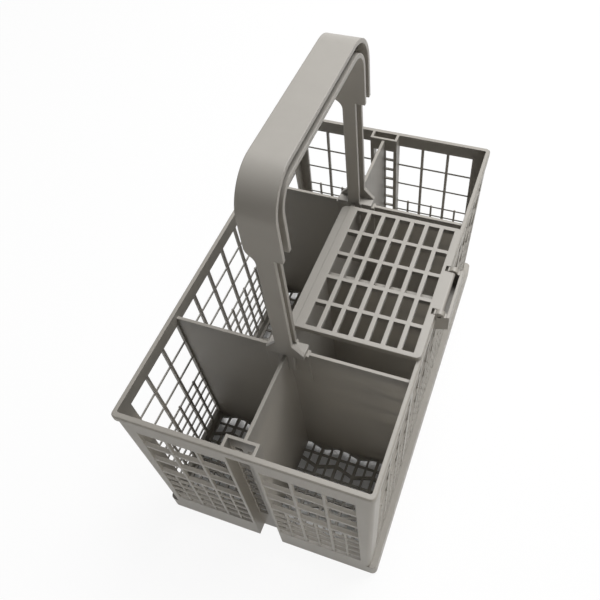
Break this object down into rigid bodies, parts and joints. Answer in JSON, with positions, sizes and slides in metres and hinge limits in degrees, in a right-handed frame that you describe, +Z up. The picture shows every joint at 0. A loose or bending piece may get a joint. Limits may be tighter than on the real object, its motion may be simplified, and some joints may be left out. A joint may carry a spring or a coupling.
{
  "type": "dishwasher cutlery basket",
  "caption": "Open-grid dishwasher cutlery basket with tapered walls, divided compartments, end channels, an arched carry handle and a hinged grid lid over part of it.",
  "frame": {"origin": "on the floor under the middle of the whole footprint, the hinge pocket on the right included", "axes": "+X to the right, towards the lid's hinge; +Y along the length, from the front end to the end with the half wall; +Z up"},
  "size_m": [0.143, 0.24, 0.2356],
  "materials": {
    "basket_plastic": "satin moulded polypropylene, warm light grey",
    "handle_plastic": "satin moulded polypropylene, warm light grey",
    "lid_plastic": "satin moulded polypropylene, warm light grey"
  },
  "bodies": {
    "basket": {"basket": "basket_plastic", "handle": "handle_plastic"},
    "lid": {"compartment_lid": "lid_plastic"}
  },
  "joints": [
    {"name": "lid_hinge", "type": "hinge", "parent": "basket", "child": "lid", "pos_m": [0.06605, 0, 0.1235], "axis": [0, 1, 0], "range_deg": [0, 115]}
  ]
}
